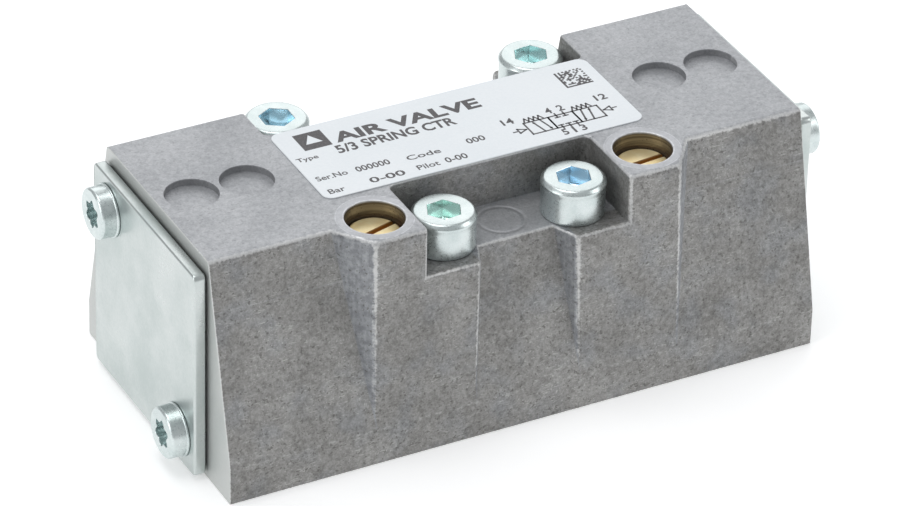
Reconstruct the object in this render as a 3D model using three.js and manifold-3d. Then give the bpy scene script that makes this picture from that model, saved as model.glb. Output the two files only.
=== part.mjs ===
// Five-port, three-position pneumatic directional valve for a sub-base.
// A die-cast block with a spool and sleeve inside, a pilot piston and a
// centring spring at each end, two exhaust flow regulators and four
// captive mounting screws.
//
// Millimetres, +Z up. The origin is the centre of the underside.
// +X runs along the spool. The regulators are on the -Y side.

import * as THREE from 'three';
import { ConvexGeometry } from 'three/addons/geometries/ConvexGeometry.js';
import { mergeVertices } from 'three/addons/utils/BufferGeometryUtils.js';
import Module from 'manifold-3d';

const wasm = await Module();
wasm.setup();

// ---------------------------------------------------------------- sizes

// the block
const LENGTH = 82;
const HEIGHT = 31.6;
const HALF_BASE = 20.8;
const HALF_DECK = 14.65;
const SKIRT = 5.15;
const HALF_LENGTH = LENGTH / 2;

// shelves that the mounting screws stand on
const SHELF_Z = 25;
const FRONT_SHELF_HALF = 13.9;
const FRONT_SHELF_WALL = 8.45;
const REAR_SHELF_HALF = 22.4;
const REAR_SHELF_WALL = 8.2;
const CORNER = 1;

// bosses on the sloping walls: y of the front face at the deck and at its foot
const BOSS_FACE_TOP = 19.5;
const BOSS_FACE_FOOT = 20.5;
const BOSS_FOOT_Z = 6.3;

// x limits of each boss on the right-hand side: of its flat face, of its root
// on the wall at its top, and of its foot
const REGULATOR_BOSS = { face: [13.9, 21.1], root: [13.9, 24.8], foot: [13.9, 21.2] };
const FRONT_SEAT = { face: [6.7, 13.95], root: [5.15, 13.95], foot: [7.2, 13.95] };
const REAR_SEAT = { face: [15.7, 20.3], root: [14.1, 21.9], foot: [16.2, 19.8] };

// hole pattern of the mounting face (size 1)
const FRONT_SCREW_X = 9;
const REAR_SCREW_X = 18;
const SCREW_Y = 14;
const PORT_STEP = 9;
const PORT_Y = 14;
const PORT_R = 3.7;

// the way from each port to the sleeve: an upright bore and a cross bore
const OUTLET_TOP = 12;
const OUTLET_CROSS_Z = 11;
const EXHAUST_TOP = 11;
const EXHAUST_CROSS_Z = 16.4;
const CROSS_R = 2;
const CROSS_INNER_Y = 7;

// pilot air: up from the underside, outwards, and up into the end chamber
const PILOT_PORT_X = 32.5;
const PILOT_PORT_R = 1.5;
const PILOT_PORT_TOP = 3;
const PILOT_RISER_X = 39.4;
const PILOT_RISER_LOW = 1.9;
const PILOT_RISER_TOP = 5.5;
const PILOT_WAY_R = 0.8;
const PILOT_WAY_Z = 2.4;

// mounting screws, M5 with a socket head
const SCREW_CLEARANCE_R = 2.75;
const SCREW_R = 2.45;
const SCREW_HEAD_R = 4.15;
const SCREW_HEAD_H = 5;
const SCREW_TIP_Z = 0.3;
const HEX_FLATS = 4;
const HEX_DEPTH = 2.6;

// spool, sleeve and pilot chambers
const AXIS_Z = 15.2;
const SLEEVE_BORE_R = 9.5;
const SLEEVE_R = 9.2;
const SLEEVE_HALF = 27.3;
const CHAMBER_R = 11;
const CHAMBER_START = 27.6;
const SPOOL_BORE_R = 5.5;
const SPOOL_R = 5.4;
const SPOOL_CORE_R = 3.5;
const GROOVE_FLOOR_R = 7.8;
const RING_MEAN_R = 8.6;
const RING_SECTION_R = 0.65;
const RING_GROOVE_HALF = 1;
const PORT_GROOVE_HALF = 1.8;
const SPOOL_LANDS = [[-27, -23], [-11.3, -6.7], [6.7, 11.3], [23, 27]];
const SPOOL_SPIGOT_R = 2.1;

// pistons and springs
const PISTON_R = 10.7;
const PISTON_IN = 31;
const PISTON_OUT = 35.5;
const SPRING_CUP = 2;
const SPRING_R = 6;
const SPRING_WIRE_R = 0.45;
const SPRING_TURNS = 3.5;

// end plates
const PLATE_SIDE = 29.2;
const PLATE_CORNER = 0.8;
const PLATE_IN = 41.25;
const PLATE_OUT = 42.85;
const GASKET_IN = 41.03;
const GASKET_OUT = 41.22;
const GASKET_SIDE = 28.2;
const END_SCREW_Y = 10;
const END_SCREW_DZ = 10.1;
const END_HEAD_FACE = 45.15;
const END_HEAD_R = 3.35;
const END_FLANGE_R = 3.5;
const END_SHANK_R = 1.9;
const END_SHANK_IN = 33.4;
const SOCKET_R = 1.93;
const SOCKET_LOBE = 0.26;
const SOCKET_DEPTH = 1.5;

// exhaust flow regulators
const REG_X = 18.55;
const REG_Y = -14.2;
const REG_BORE_R = 3.75;
const REG_R = 3.45;
const REG_TOP_Z = 29.6;
const REG_SEAT_Z = 13.2;
const REG_SEAT_R = 2.4;
const REG_SEAT_DEPTH = 3;
const REG_NOSE_R = 2.25;
const REG_NOSE_TIP_R = 1.1;
const REG_GROOVE_R = 2.5;
const REG_GROOVE_Z = [21.6, 23.6];
const REG_RING_MEAN_R = 3.08;
const REG_RING_SECTION_R = 0.5;
const REG_SLOT = [10, 0.9, 2.4];

// base gasket
const BASE_RECESS = 1.2;
const BASE_GASKET = 0.9;
const BASE_RECESS_HALF_X = 38;
const BASE_RECESS_HALF_Y = 19;

// shallow round pockets in the deck
const POCKETS_X = [28.85, 36.3];
const POCKET_R = 3.45;
const POCKET_DEPTH = 1;

// rating label
const LABEL_HALF_X = 22.2;
const LABEL_Y = [-8.4, 7.9];
const LABEL_THICK = 0.15;

const GAP = 0.3;

// ------------------------------------------------------------ materials

const metal = (color, roughness) => new THREE.MeshStandardMaterial({ color, roughness, metalness: 1 });
const matte = (color, roughness) => new THREE.MeshStandardMaterial({ color, roughness, metalness: 0 });
const CAST = metal(0x9b9c9c, 0.6);
const ZINC = metal(0xcbd3d2, 0.3);
const STEEL = metal(0xb8bcc0, 0.25);
const BRASS = metal(0xc9a55f, 0.35);
const ANODISED = metal(0x6d7073, 0.45);
const RUBBER = matte(0x1c1c1c, 0.8);
const FOIL = matte(0xe8eef2, 0.4);

// -------------------------------------------------------------- helpers

// closed geometry -> solid that can be joined and cut
function solid(geometry) {
  const plain = geometry.index ? geometry.toNonIndexed() : geometry.clone();
  for (const name of Object.keys(plain.attributes)) {
    if (name !== 'position') plain.deleteAttribute(name);
  }
  const merged = mergeVertices(plain, 1e-4);
  const vertProperties = new Float32Array(merged.attributes.position.array);
  const triVerts = new Uint32Array(merged.index.array);
  return new wasm.Manifold(new wasm.Mesh({ numProp: 3, vertProperties, triVerts }));
}

function geometryOf(shape) {
  const mesh = shape.getMesh();
  const geometry = new THREE.BufferGeometry();
  geometry.setAttribute('position', new THREE.BufferAttribute(new Float32Array(mesh.vertProperties), 3));
  geometry.setIndex(new THREE.BufferAttribute(new Uint32Array(mesh.triVerts), 1));
  geometry.computeVertexNormals();
  return geometry;
}

function cutAll(start, cutters) {
  return cutters.reduce((left, cutter) => left.subtract(solid(cutter)), solid(start));
}

// turns +Z into +X, keeping a right-handed frame: local x, y, z -> world y, z, x
function alongX(geometry) {
  const turn = new THREE.Matrix4().makeBasis(
    new THREE.Vector3(0, 1, 0),
    new THREE.Vector3(0, 0, 1),
    new THREE.Vector3(1, 0, 0),
  );
  return geometry.applyMatrix4(turn);
}

// round bar between two heights, or between two x values
function barZ(radius, x, y, low, high, sides = 24) {
  const geometry = new THREE.CylinderGeometry(radius, radius, high - low, sides);
  return geometry.rotateX(Math.PI / 2).translate(x, y, (low + high) / 2);
}

function barX(radius, y, z, low, high, sides = 24) {
  const geometry = new THREE.CylinderGeometry(radius, radius, high - low, sides);
  return geometry.rotateZ(Math.PI / 2).translate((low + high) / 2, y, z);
}

function barY(radius, x, z, low, high, sides = 20) {
  const geometry = new THREE.CylinderGeometry(radius, radius, high - low, sides);
  return geometry.translate(x, (low + high) / 2, z);
}

function roundedOutline(lowX, lowY, highX, highY, radius) {
  const outline = new THREE.Shape();
  outline.absarc(highX - radius, highY - radius, radius, 0, Math.PI / 2);
  outline.absarc(lowX + radius, highY - radius, radius, Math.PI / 2, Math.PI);
  outline.absarc(lowX + radius, lowY + radius, radius, Math.PI, 1.5 * Math.PI);
  outline.absarc(highX - radius, lowY + radius, radius, 1.5 * Math.PI, 2 * Math.PI);
  outline.closePath();
  return outline;
}

// slab with rounded corners, lying flat between two heights
function slab(lowX, lowY, highX, highY, radius, low, high) {
  const outline = roundedOutline(lowX, lowY, highX, highY, radius);
  const options = { depth: high - low, bevelEnabled: false, curveSegments: 4 };
  return new THREE.ExtrudeGeometry(outline, options).translate(0, 0, low);
}

// ring with a rounded section, its axis along +Z through the origin
function ring(meanR, sectionR, sides = 24, sectionSides = 6) {
  const profile = [];
  for (let step = 0; step <= sectionSides; step += 1) {
    const turn = (step % sectionSides) * 2 * Math.PI / sectionSides;
    profile.push(new THREE.Vector2(meanR + sectionR * Math.cos(turn), sectionR * Math.sin(turn)));
  }
  return new THREE.LatheGeometry(profile, sides).rotateX(Math.PI / 2);
}

// turned piece: rows of [radius, height], its axis along +Z through the origin
function turned(rows, sides) {
  const profile = rows.map(([radius, height]) => new THREE.Vector2(radius, height));
  return new THREE.LatheGeometry(profile, sides).rotateX(Math.PI / 2);
}

function hull(corners) {
  return new ConvexGeometry(corners.map(([x, y, z]) => new THREE.Vector3(x, y, z)));
}

const part = new THREE.Group();

function place(name, geometry, material) {
  const mesh = new THREE.Mesh(geometry, material);
  mesh.name = name;
  part.add(mesh);
  return mesh;
}

// ----------------------------------------------------------- valve body

// half-width of the block at a height
function wallY(z) {
  if (z <= SKIRT) return HALF_BASE;
  return HALF_BASE + (HALF_DECK - HALF_BASE) * (z - SKIRT) / (HEIGHT - SKIRT);
}

// distance of a boss's face from the middle at a height
function bossY(z) {
  const rise = (z - BOSS_FOOT_Z) / (HEIGHT - BOSS_FOOT_Z);
  return BOSS_FACE_FOOT + (BOSS_FACE_TOP - BOSS_FACE_FOOT) * rise;
}

function block() {
  const outline = new THREE.Shape();
  outline.moveTo(-HALF_BASE, 0);
  outline.lineTo(HALF_BASE, 0);
  outline.lineTo(HALF_BASE, SKIRT);
  outline.lineTo(HALF_DECK, HEIGHT);
  outline.lineTo(-HALF_DECK, HEIGHT);
  outline.lineTo(-HALF_BASE, SKIRT);
  outline.closePath();
  const bar = new THREE.ExtrudeGeometry(outline, { depth: LENGTH, bevelEnabled: false });
  return alongX(bar.translate(0, 0, -HALF_LENGTH));
}

// A boss grows out of a sloping wall: a flat face, and one or two slanted
// flanks that run out to nothing at the foot. face and root are the x limits
// of the flat face and of the line where the flanks meet the wall at the top.
function boss(side, top, face, root, foot) {
  const corners = [];
  for (const x of face) corners.push([x, side * bossY(top), top]);
  for (const x of root) corners.push([x, side * wallY(top), top]);
  for (const x of root) corners.push([x, 0, top]);
  for (const x of foot) corners.push([x, side * BOSS_FACE_FOOT, BOSS_FOOT_Z]);
  for (const x of foot) corners.push([x, 0, BOSS_FOOT_Z]);
  return hull(corners);
}

function bosses() {
  const mirrored = (limits) => limits.map((x) => -x);
  const list = [];
  for (const [side, top, shape] of [
    [-1, HEIGHT, REGULATOR_BOSS],
    [-1, SHELF_Z, FRONT_SEAT],
    [1, SHELF_Z, REAR_SEAT],
  ]) {
    list.push(boss(side, top, shape.face, shape.root, shape.foot));
    list.push(boss(side, top, mirrored(shape.face), mirrored(shape.root), mirrored(shape.foot)));
  }
  return list;
}

function shelfCuts() {
  const over = 10;
  const front = [-FRONT_SHELF_HALF, -HALF_BASE - over, FRONT_SHELF_HALF, -FRONT_SHELF_WALL];
  const rear = [-REAR_SHELF_HALF, REAR_SHELF_WALL, REAR_SHELF_HALF, HALF_BASE + over];
  const underside = [-BASE_RECESS_HALF_X, -BASE_RECESS_HALF_Y, BASE_RECESS_HALF_X, BASE_RECESS_HALF_Y];
  return [
    slab(...front, CORNER, SHELF_Z, HEIGHT + over),
    slab(...rear, CORNER, SHELF_Z, HEIGHT + over),
    slab(...underside, 3, -over, BASE_RECESS),
  ];
}

function deckPockets() {
  const list = [];
  for (const x of POCKETS_X) {
    list.push(barZ(POCKET_R, x, 0, HEIGHT - POCKET_DEPTH, HEIGHT + 1, 28));
    list.push(barZ(POCKET_R, -x, 0, HEIGHT - POCKET_DEPTH, HEIGHT + 1, 28));
  }
  return list;
}

const SCREW_PLACES = [
  ['front_left', -FRONT_SCREW_X, -SCREW_Y],
  ['front_right', FRONT_SCREW_X, -SCREW_Y],
  ['rear_left', -REAR_SCREW_X, SCREW_Y],
  ['rear_right', REAR_SCREW_X, SCREW_Y],
];

// supply 1 and exhausts 5, 3 open on the front side, outlets 4, 2 on the rear
const PORT_PLACES = [
  [-2 * PORT_STEP, -PORT_Y],
  [-PORT_STEP, PORT_Y],
  [0, -PORT_Y],
  [PORT_STEP, PORT_Y],
  [2 * PORT_STEP, -PORT_Y],
];

// an exhaust passes its flow regulator's seat, so it crosses higher up
function airWays() {
  const list = [];
  for (const [x, y] of PORT_PLACES) {
    const exhaust = Math.abs(x) === 2 * PORT_STEP;
    const portTop = exhaust ? EXHAUST_TOP : OUTLET_TOP;
    const crossZ = exhaust ? EXHAUST_CROSS_Z : OUTLET_CROSS_Z;
    const inner = Math.sign(y) * CROSS_INNER_Y;
    list.push(barZ(PORT_R, x, y, -1, portTop));
    list.push(barY(CROSS_R, x, crossZ, Math.min(inner, y), Math.max(inner, y)));
  }
  return list;
}

function regulatorBores() {
  const list = [];
  for (const x of [-REG_X, REG_X]) {
    list.push(barZ(REG_BORE_R, x, REG_Y, REG_SEAT_Z, HEIGHT + 1, 32));
    list.push(barZ(REG_SEAT_R, x, REG_Y, REG_SEAT_Z - REG_SEAT_DEPTH, REG_SEAT_Z + 1));
  }
  return list;
}

function pilotWays() {
  const list = [];
  for (const s of [-1, 1]) {
    const inner = PILOT_PORT_X * s;
    const outer = PILOT_RISER_X * s;
    list.push(barZ(PILOT_PORT_R, inner, 0, -1, PILOT_PORT_TOP, 16));
    list.push(barX(PILOT_WAY_R, 0, PILOT_WAY_Z, Math.min(inner, outer), Math.max(inner, outer), 10));
    list.push(barZ(PILOT_WAY_R, outer, 0, PILOT_RISER_LOW, PILOT_RISER_TOP, 10));
  }
  return list;
}

// the two end screws of a plate stand on a diagonal, the same way round
// whichever end one looks at
function endScrewPlaces(side) {
  return [
    ['top', side * -END_SCREW_Y, AXIS_Z + END_SCREW_DZ],
    ['bottom', side * END_SCREW_Y, AXIS_Z - END_SCREW_DZ],
  ];
}

function endHoles() {
  const list = [];
  for (const s of [-1, 1]) {
    const mouth = s * (HALF_LENGTH + 1);
    const floor = s * (END_SHANK_IN - 1);
    const start = s * CHAMBER_START;
    list.push(barX(CHAMBER_R, 0, AXIS_Z, Math.min(start, mouth), Math.max(start, mouth), 36));
    for (const [, y, z] of endScrewPlaces(s)) {
      list.push(barX(END_SHANK_R + GAP, y, z, Math.min(floor, mouth), Math.max(floor, mouth), 16));
    }
  }
  return list;
}

function valveBody() {
  const joined = bosses().reduce((left, piece) => left.add(solid(piece)), solid(block()));
  const screwHoles = SCREW_PLACES.map(([, x, y]) => barZ(SCREW_CLEARANCE_R, x, y, -1, SHELF_Z + 1));
  const spoolBore = barX(SLEEVE_BORE_R, 0, AXIS_Z, -CHAMBER_START - 1, CHAMBER_START + 1, 36);
  const cutters = [
    ...shelfCuts(),
    ...deckPockets(),
    ...screwHoles,
    ...airWays(),
    ...regulatorBores(),
    ...pilotWays(),
    spoolBore,
    ...endHoles(),
  ];
  return cutters.reduce((left, cutter) => left.subtract(solid(cutter)), joined);
}

place('valve_body', geometryOf(valveBody()), CAST);

// ---------------------------------------------------------------- label

const labelBox = [-LABEL_HALF_X, LABEL_Y[0], LABEL_HALF_X, LABEL_Y[1]];
place('rating_label', slab(...labelBox, 1.2, HEIGHT + 0.02, HEIGHT + LABEL_THICK), FOIL);

// ---------------------------------------------------------- base gasket

function baseGasket() {
  const halfX = BASE_RECESS_HALF_X - GAP;
  const halfY = BASE_RECESS_HALF_Y - GAP;
  const sheet = slab(-halfX, -halfY, halfX, halfY, 2.7, 0, BASE_GASKET);
  const holes = [];
  for (const [x, y] of PORT_PLACES) holes.push(barZ(PORT_R - 0.2, x, y, -1, 2, 20));
  for (const [, x, y] of SCREW_PLACES) holes.push(barZ(SCREW_CLEARANCE_R, x, y, -1, 2, 20));
  for (const x of [-PILOT_PORT_X, PILOT_PORT_X]) holes.push(barZ(PILOT_PORT_R, x, 0, -1, 2, 12));
  return cutAll(sheet, holes);
}

place('base_gasket', geometryOf(baseGasket()), RUBBER);

// ------------------------------------------------------ mounting screws

// six-sided socket, a cutter that stands on its floor height
function hexCutter(flats, low, high) {
  return barZ(flats / Math.sqrt(3), 0, 0, low, high, 6);
}

function mountingScrew() {
  const chamfer = 0.4;
  const under = SHELF_Z + 0.02;
  const top = SHELF_Z + SCREW_HEAD_H;
  const rows = [
    [0, SCREW_TIP_Z],
    [SCREW_R - 0.5, SCREW_TIP_Z],
    [SCREW_R, SCREW_TIP_Z + 0.6],
    [SCREW_R, under],
    [SCREW_HEAD_R, under],
    [SCREW_HEAD_R, top - chamfer],
    [SCREW_HEAD_R - chamfer, top],
    [0, top],
  ];
  return cutAll(turned(rows, 24), [hexCutter(HEX_FLATS, top - HEX_DEPTH, top + 1)]);
}

for (const [where, x, y] of SCREW_PLACES) {
  place(`mounting_screw_${where}`, geometryOf(mountingScrew()), ZINC).position.set(x, y, 0);
}

// --------------------------------------------------- end plates, screws

// square plate across the end of the block, between two x values
function endSheet(side, inner, outer, corner, holes) {
  const half = side / 2;
  const flat = slab(-half, AXIS_Z - half, half, AXIS_Z + half, corner, inner, outer);
  return cutAll(alongX(flat), holes);
}

// cutter for a six-lobed socket: its radius swells and shrinks six times a turn
function lobedCutter(low, high) {
  const points = [];
  for (let step = 0; step < 36; step += 1) {
    const turn = step * Math.PI / 18;
    const radius = SOCKET_R - SOCKET_LOBE + SOCKET_LOBE * Math.cos(6 * turn);
    points.push(new THREE.Vector2(radius * Math.cos(turn), radius * Math.sin(turn)));
  }
  const options = { depth: high - low, bevelEnabled: false };
  return new THREE.ExtrudeGeometry(new THREE.Shape(points), options).translate(0, 0, low);
}

// stands on +Z with the face of its head at END_HEAD_FACE
function endScrew() {
  const seat = PLATE_OUT + 0.02;
  const rows = [
    [0, END_SHANK_IN],
    [END_SHANK_R - 0.4, END_SHANK_IN],
    [END_SHANK_R, END_SHANK_IN + 0.5],
    [END_SHANK_R, seat],
    [END_FLANGE_R, seat],
    [END_FLANGE_R, seat + 0.3],
    [END_HEAD_R, seat + 0.35],
    [END_HEAD_R - 0.05, END_HEAD_FACE - 0.25],
    [END_HEAD_R - 0.3, END_HEAD_FACE],
    [0, END_HEAD_FACE],
  ];
  return cutAll(turned(rows, 20), [lobedCutter(END_HEAD_FACE - SOCKET_DEPTH, END_HEAD_FACE + 1)]);
}

for (const [end, s] of [['left', -1], ['right', 1]]) {
  const holes = endScrewPlaces(1).map(([, y, z]) => barX(END_SHANK_R + GAP, y, z, 40, 44, 16));
  const chamberHole = barX(CHAMBER_R, 0, AXIS_Z, 40, 44, 32);
  const turn = s > 0 ? 0 : Math.PI;
  const plate = geometryOf(endSheet(PLATE_SIDE, PLATE_IN, PLATE_OUT, PLATE_CORNER, holes));
  const gasket = geometryOf(endSheet(GASKET_SIDE, GASKET_IN, GASKET_OUT, 1, [...holes, chamberHole]));
  place(`end_plate_${end}`, plate, ZINC).rotation.z = turn;
  place(`end_gasket_${end}`, gasket, RUBBER).rotation.z = turn;
  for (const [where, y, z] of endScrewPlaces(1)) {
    const screw = alongX(geometryOf(endScrew())).translate(0, y, z);
    place(`end_screw_${end}_${where}`, screw, ZINC).rotation.z = turn;
  }
}

// --------------------------------------------------- sleeve and O-rings

// a groove over each port, and a ring on both sides of every groove
const PORT_GROOVES = [-2, -1, 0, 1, 2].map((step) => step * PORT_STEP);
const RING_PLACES = [-2.5, -1.5, -0.5, 0.5, 1.5, 2.5].map((step) => step * PORT_STEP);

function sleeve() {
  const grooves = [
    ...RING_PLACES.map((x) => [x, RING_GROOVE_HALF]),
    ...PORT_GROOVES.map((x) => [x, PORT_GROOVE_HALF]),
  ].sort((a, b) => a[0] - b[0]);
  const rows = [[SPOOL_BORE_R, -SLEEVE_HALF], [SLEEVE_R, -SLEEVE_HALF]];
  for (const [x, half] of grooves) {
    rows.push([SLEEVE_R, x - half]);
    rows.push([GROOVE_FLOOR_R, x - half]);
    rows.push([GROOVE_FLOOR_R, x + half]);
    rows.push([SLEEVE_R, x + half]);
  }
  rows.push([SLEEVE_R, SLEEVE_HALF], [SPOOL_BORE_R, SLEEVE_HALF], [SPOOL_BORE_R, -SLEEVE_HALF]);
  const tube = alongX(turned(rows, 20)).translate(0, 0, AXIS_Z);
  const windows = [];
  const through = 2 * SLEEVE_R + 2;
  for (const x of PORT_GROOVES) {
    windows.push(new THREE.BoxGeometry(3, 3.6, through).translate(x, 0, AXIS_Z));
    windows.push(new THREE.BoxGeometry(3, through, 3.6).translate(x, 0, AXIS_Z));
  }
  return cutAll(tube, windows);
}

place('spool_sleeve', geometryOf(sleeve()), ANODISED);

RING_PLACES.forEach((x, index) => {
  const seal = alongX(ring(RING_MEAN_R, RING_SECTION_R, 20, 5)).translate(x, 0, AXIS_Z);
  place(`sleeve_oring_${index + 1}`, seal, RUBBER);
});

// ------------------------------------------------------ spool, pistons

function spool() {
  const tip = PISTON_OUT - 1;
  const shoulder = PISTON_IN - GAP;
  const rows = [[0, -tip], [SPOOL_SPIGOT_R, -tip], [SPOOL_SPIGOT_R, -shoulder], [SPOOL_CORE_R, -shoulder]];
  for (const [low, high] of SPOOL_LANDS) {
    rows.push([SPOOL_CORE_R, low], [SPOOL_R, low], [SPOOL_R, high], [SPOOL_CORE_R, high]);
  }
  rows.push([SPOOL_CORE_R, shoulder], [SPOOL_SPIGOT_R, shoulder], [SPOOL_SPIGOT_R, tip], [0, tip]);
  return alongX(turned(rows, 22)).translate(0, 0, AXIS_Z);
}

place('spool', spool(), STEEL);

// disc with a groove for its seal, a cup for the spring and a hole for the spool's end
function piston() {
  const hole = 2.4;
  const cupIn = 4.6;
  const cupOut = 7.4;
  const grooveFloor = 9;
  const rows = [
    [hole, PISTON_IN],
    [PISTON_R, PISTON_IN],
    [PISTON_R, PISTON_IN + 1],
    [grooveFloor, PISTON_IN + 1],
    [grooveFloor, PISTON_OUT - 1.1],
    [PISTON_R, PISTON_OUT - 1.1],
    [PISTON_R, PISTON_OUT],
    [cupOut, PISTON_OUT],
    [cupOut, PISTON_OUT - SPRING_CUP],
    [cupIn, PISTON_OUT - SPRING_CUP],
    [cupIn, PISTON_OUT],
    [hole, PISTON_OUT],
    [hole, PISTON_IN],
  ];
  return alongX(turned(rows, 26)).translate(0, 0, AXIS_Z);
}

function pistonSeal() {
  const rows = [[9.15, 32.15], [10.85, 32.15], [10.85, 32.6], [10.4, 33.2], [10.85, 33.8], [10.85, 34.2]];
  rows.push([9.15, 34.2], [9.15, 32.15]);
  return alongX(turned(rows, 26)).translate(0, 0, AXIS_Z);
}

// compression spring between the piston's cup and the end plate
class SpringLine extends THREE.Curve {
  constructor(low, high) {
    super();
    this.low = low;
    this.high = high;
  }

  getPoint(t, target = new THREE.Vector3()) {
    const turn = t * SPRING_TURNS * 2 * Math.PI;
    const x = this.low + (this.high - this.low) * t;
    return target.set(x, SPRING_R * Math.cos(turn), SPRING_R * Math.sin(turn));
  }
}

function spring() {
  const low = PISTON_OUT - SPRING_CUP + SPRING_WIRE_R + 0.1;
  const high = GASKET_OUT - SPRING_WIRE_R - 0.1;
  const section = new THREE.Shape();
  section.absarc(0, 0, SPRING_WIRE_R, 0, 2 * Math.PI);
  const extrudePath = new SpringLine(low, high);
  const options = { steps: Math.round(SPRING_TURNS * 12), curveSegments: 3, extrudePath };
  const wire = new THREE.ExtrudeGeometry(section, { ...options, bevelEnabled: false });
  return wire.translate(0, 0, AXIS_Z);
}

for (const [end, turn] of [['left', Math.PI], ['right', 0]]) {
  place(`pilot_piston_${end}`, piston(), ANODISED).rotation.z = turn;
  place(`piston_seal_${end}`, pistonSeal(), RUBBER).rotation.z = turn;
  place(`centring_spring_${end}`, spring(), STEEL).rotation.z = turn;
}

// ------------------------------------------------------ flow regulators

// brass screw: slotted head, groove for its ring, and a tapered nose
function regulator() {
  const [grooveLow, grooveHigh] = REG_GROOVE_Z;
  const shoulder = grooveLow - 0.8;
  const rows = [
    [0, REG_SEAT_Z + 0.4],
    [REG_NOSE_TIP_R, REG_SEAT_Z + 0.4],
    [REG_NOSE_R, REG_SEAT_Z + 3.2],
    [REG_NOSE_R, shoulder - 0.3],
    [REG_R, shoulder],
    [REG_R, grooveLow],
    [REG_GROOVE_R, grooveLow],
    [REG_GROOVE_R, grooveHigh],
    [REG_R, grooveHigh],
    [REG_R, REG_TOP_Z - 0.3],
    [REG_R - 0.3, REG_TOP_Z],
    [0, REG_TOP_Z],
  ];
  const slot = new THREE.BoxGeometry(...REG_SLOT).translate(0, 0, REG_TOP_Z);
  return cutAll(turned(rows, 22), [slot]);
}

const REG_RING_Z = (REG_GROOVE_Z[0] + REG_GROOVE_Z[1]) / 2;

// end, x and the slot's angle from +X in degrees
const REGULATORS = [['left', -REG_X, 16], ['right', REG_X, 6]];

for (const [end, x, slotAngle] of REGULATORS) {
  const screw = place(`flow_regulator_${end}`, geometryOf(regulator()), BRASS);
  screw.position.set(x, REG_Y, 0);
  screw.rotation.z = THREE.MathUtils.degToRad(slotAngle);
  const oring = ring(REG_RING_MEAN_R, REG_RING_SECTION_R, 20, 6);
  place(`regulator_oring_${end}`, oring, RUBBER).position.set(x, REG_Y, REG_RING_Z);
}

export default part;
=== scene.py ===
# %% [markdown]
# # A sub-base air valve
#
# The valve is a die-cast block with a spool inside. What one sees is the casting, two zinc-plated
# end plates, eight screws, two brass flow regulators and a printed label. The CAD model gives
# every place and size. This lesson adds what a drawing leaves out: worn edges with a painted
# highlight, turned faces, sockets, print, and a finish for each metal.

# %% Load the frame
import math

import bmesh
import bpy
import numpy as np
from mathutils import Matrix, Vector


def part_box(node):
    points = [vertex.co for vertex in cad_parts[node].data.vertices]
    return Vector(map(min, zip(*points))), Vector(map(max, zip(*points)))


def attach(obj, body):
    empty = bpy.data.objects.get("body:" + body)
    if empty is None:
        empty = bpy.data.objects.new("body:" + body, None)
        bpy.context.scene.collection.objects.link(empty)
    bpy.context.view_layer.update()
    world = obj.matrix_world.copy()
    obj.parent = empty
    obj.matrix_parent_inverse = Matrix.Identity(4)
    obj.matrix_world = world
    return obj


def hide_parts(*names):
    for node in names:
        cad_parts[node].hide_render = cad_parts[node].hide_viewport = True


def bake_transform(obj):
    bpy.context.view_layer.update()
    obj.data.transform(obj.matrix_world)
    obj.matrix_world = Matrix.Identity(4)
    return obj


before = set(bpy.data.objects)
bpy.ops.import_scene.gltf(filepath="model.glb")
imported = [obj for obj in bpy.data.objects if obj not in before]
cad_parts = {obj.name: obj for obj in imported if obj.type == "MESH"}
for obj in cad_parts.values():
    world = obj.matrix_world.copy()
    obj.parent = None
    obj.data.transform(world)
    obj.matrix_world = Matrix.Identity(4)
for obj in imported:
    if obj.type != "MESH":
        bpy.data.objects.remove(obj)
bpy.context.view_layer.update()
MM = 0.001

# %% [markdown]
# ## The camera
#
# A long lens from the front left, a third of a right angle above the bench. A long lens keeps the
# edges of a small object nearly parallel, as in a catalogue. The camera is given by its direction,
# so its axes are built from two angles and a small roll.

# %% Camera
VIEW_TURN = math.radians(28.37)
VIEW_DROP = math.radians(32.93)
VIEW_ROLL = math.radians(1.65)
VIEW_DISTANCE = 685.4 * MM
VIEW_LENS = 215.3
VIEW_AIM = Vector((2.5, 5.4, 9.1)) * MM


def aim_camera():
    """Places the camera at its distance from the aim point, against its viewing direction."""
    level = Vector((math.sin(VIEW_TURN), math.cos(VIEW_TURN), 0))
    forward = level * math.cos(VIEW_DROP) - Vector((0, 0, math.sin(VIEW_DROP)))
    flat_right = Vector((math.cos(VIEW_TURN), -math.sin(VIEW_TURN), 0))
    flat_up = flat_right.cross(forward)
    right = flat_right * math.cos(VIEW_ROLL) + flat_up * math.sin(VIEW_ROLL)
    up = flat_up * math.cos(VIEW_ROLL) - flat_right * math.sin(VIEW_ROLL)
    data = bpy.data.cameras.new("camera")
    data.lens = VIEW_LENS
    data.sensor_width = 36
    data.clip_start, data.clip_end = 0.01, 20
    camera = bpy.data.objects.new("camera", data)
    bpy.context.scene.collection.objects.link(camera)
    turn = Matrix((right, up, -forward)).transposed().to_4x4()
    camera.matrix_world = Matrix.Translation(VIEW_AIM - forward * VIEW_DISTANCE) @ turn
    bpy.context.scene.camera = camera
    return camera


camera = aim_camera()
print("camera at", [round(value, 3) for value in camera.location])

# %% [markdown]
# ## Node helpers
#
# A finish is a small graph of nodes. `add` makes one node and links or sets its inputs. `Value`
# stands for a number that varies over a surface, and +, - and * on it each add a maths node, so a
# mask or a roughness is written as a formula. `Finish` holds a material and makes its noises.

# %% Node helpers
def add(tree, kind, inputs, **settings):
    """Adds one node, sets its options, and links or sets its inputs."""
    made = tree.nodes.new(kind)
    for key, value in settings.items():
        setattr(made, key, value)
    for key, value in inputs.items():
        value = getattr(value, "socket", value)
        if isinstance(value, bpy.types.NodeSocket):
            tree.links.new(value, made.inputs[key])
        else:
            made.inputs[key].default_value = value
    return made


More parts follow.
